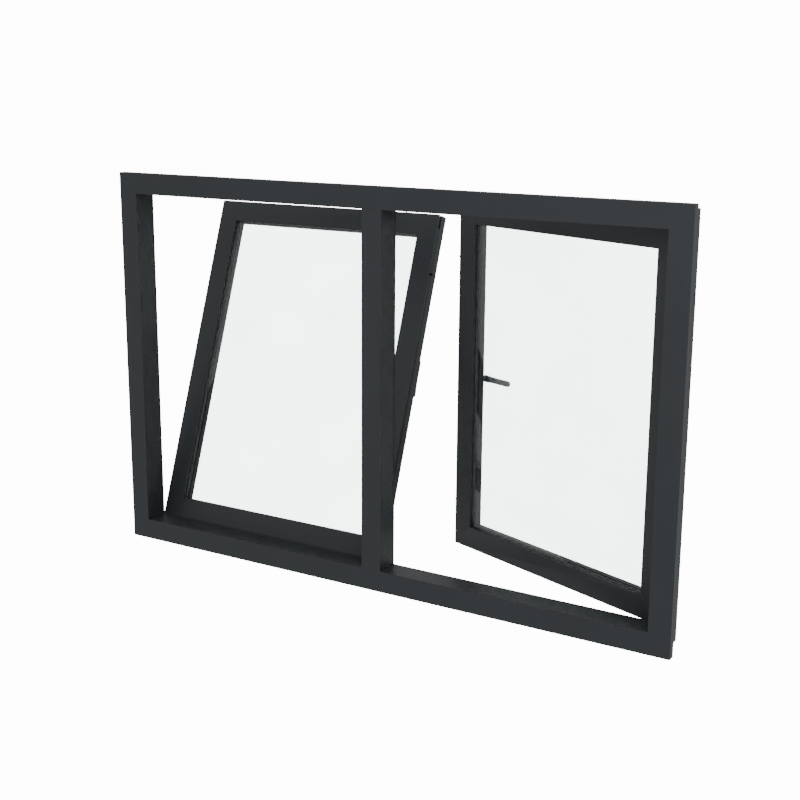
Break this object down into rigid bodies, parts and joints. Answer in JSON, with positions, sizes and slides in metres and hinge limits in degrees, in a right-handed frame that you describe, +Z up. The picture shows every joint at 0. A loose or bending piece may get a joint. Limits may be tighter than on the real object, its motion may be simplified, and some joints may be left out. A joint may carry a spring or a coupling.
{
  "type": "casement window",
  "caption": "Wide window frame with a fixed mullion between a sash that tilts in at the top and a sash that turns in on side hinges, each with glass and a lever handle.",
  "frame": {"origin": "middle of the underside of the frame's body, halfway through its depth", "axes": "+X along the width, +Y into the room, +Z up"},
  "size_m": [1.8, 0.4611, 1.15],
  "materials": {
    "powder_coat": "fine matt anthracite powder coat on aluminium extrusion",
    "handle_coating": "satin dark grey coating on cast metal",
    "rubber_seal": "black EPDM rubber, slightly dusty",
    "clear_glass": "clear float glass",
    "black_plastic": "moulded black polypropylene",
    "dark_anodised": "dark grey anodised aluminium",
    "mill_aluminium": "mill-finish sawn aluminium",
    "zinc_plated_steel": "satin zinc-plated steel"
  },
  "bodies": {
    "frame": {"frame_head": "powder_coat", "frame_sill": "powder_coat", "frame_jamb_left": "powder_coat", "frame_jamb_right": "powder_coat", "mullion": "powder_coat", "frame_corner_cleats": "mill_aluminium", "mullion_end_plugs": "mill_aluminium", "stop_gasket_left": "rubber_seal", "stop_gasket_right": "rubber_seal", "keeps": "zinc_plated_steel", "bracket_screws": "zinc_plated_steel", "tilt_pivot_brackets": "zinc_plated_steel", "turn_hinge_bracket_lower": "zinc_plated_steel", "turn_hinge_bracket_upper": "zinc_plated_steel", "stay_bearing_left": "zinc_plated_steel"},
    "left_sash": {"left_sash_top_rail": "powder_coat", "left_sash_bottom_rail": "powder_coat", "left_sash_hinge_stile": "powder_coat", "left_sash_lock_stile": "powder_coat", "left_sash_corner_cleats": "mill_aluminium", "left_glazing_gaskets": "rubber_seal", "left_glazing_beads": "powder_coat", "left_outer_pane": "clear_glass", "left_inner_pane": "clear_glass", "left_spacer_bar": "dark_anodised", "left_setting_blocks": "black_plastic", "left_tilt_pivot_leaves": "zinc_plated_steel", "left_gearbox_case": "zinc_plated_steel", "left_handle_base": "handle_coating", "left_handle_screws": "zinc_plated_steel"},
    "left_handle": {"left_handle_lever": "handle_coating", "left_handle_spindle": "zinc_plated_steel"},
    "left_rod": {"left_drive_rod": "dark_anodised", "left_locking_cams": "dark_anodised"},
    "left_stay_swivel": {"left_stay_swivel": "zinc_plated_steel"},
    "left_stay": {"left_stay_arm": "zinc_plated_steel", "left_stay_guide_pin": "zinc_plated_steel"},
    "right_sash": {"right_sash_top_rail": "powder_coat", "right_sash_bottom_rail": "powder_coat", "right_sash_hinge_stile": "powder_coat", "right_sash_lock_stile": "powder_coat", "right_sash_corner_cleats": "mill_aluminium", "right_glazing_gaskets": "rubber_seal", "right_glazing_beads": "powder_coat", "right_outer_pane": "clear_glass", "right_inner_pane": "clear_glass", "right_spacer_bar": "dark_anodised", "right_setting_blocks": "black_plastic", "right_turn_hinge_leaf": "zinc_plated_steel", "right_gearbox_case": "zinc_plated_steel", "right_handle_base": "handle_coating", "right_handle_screws": "zinc_plated_steel", "right_stay_arm": "zinc_plated_steel", "right_stay_guide_pin": "zinc_plated_steel"},
    "right_handle": {"right_handle_lever": "handle_coating", "right_handle_spindle": "zinc_plated_steel"},
    "right_rod": {"right_drive_rod": "dark_anodised", "right_locking_cams": "dark_anodised"}
  },
  "joints": [
    {"name": "left_sash_tilt", "type": "hinge", "parent": "frame", "child": "left_sash", "pos_m": [-0.43438, 0.039, 0.037], "axis": [-1, 0, 0], "range_deg": [-19.3, 0]},
    {"name": "right_sash_turn", "type": "hinge", "parent": "frame", "child": "right_sash", "pos_m": [0.8525, 0.039, 0.554], "axis": [0, 0, -1], "range_deg": [-20.3, 74.7]},
    {"name": "left_handle_turn", "type": "hinge", "parent": "left_sash", "child": "left_handle", "pos_m": [-0.06125, 0.22823, 0.50474], "axis": [0, 0.9438, -0.3305], "range_deg": [-180, 0]},
    {"name": "right_handle_turn", "type": "hinge", "parent": "right_sash", "child": "right_handle", "pos_m": [0.11872, 0.33602, 0.541], "axis": [-0.3469, -0.9379, 0], "range_deg": [-90, 90]},
    {"name": "left_rod_slide", "type": "slide", "parent": "left_sash", "child": "left_rod", "axis": [0, 0.3305, 0.9438], "range_m": [0, 0.02985]},
    {"name": "right_rod_slide", "type": "slide", "parent": "right_sash", "child": "right_rod", "axis": [0, 0, 1], "range_m": [-0.01492, 0.01492]},
    {"name": "left_stay_lean", "type": "hinge", "parent": "frame", "child": "left_stay_swivel", "pos_m": [-0.8525, 0.039, 1.068], "axis": [-1, 0, 0], "range_deg": [-9.65, 0]},
    {"name": "left_stay_swing", "type": "hinge", "parent": "left_stay_swivel", "child": "left_stay", "pos_m": [-0.8525, 0.04118, 1.08082], "axis": [0, 0.1676, 0.9859], "range_deg": [-26.25, 0]}
  ],
  "couplings": [
    {"joint": "left_rod_slide", "follows": "left_handle_turn", "m_per_rad": -0.0095},
    {"joint": "right_rod_slide", "follows": "right_handle_turn", "m_per_rad": -0.0095},
    {"joint": "left_stay_lean", "follows": "left_sash_tilt", "ratio": 0.5},
    {"joint": "left_stay_swing", "follows": "left_sash_tilt", "ratio": 1.36}
  ]
}
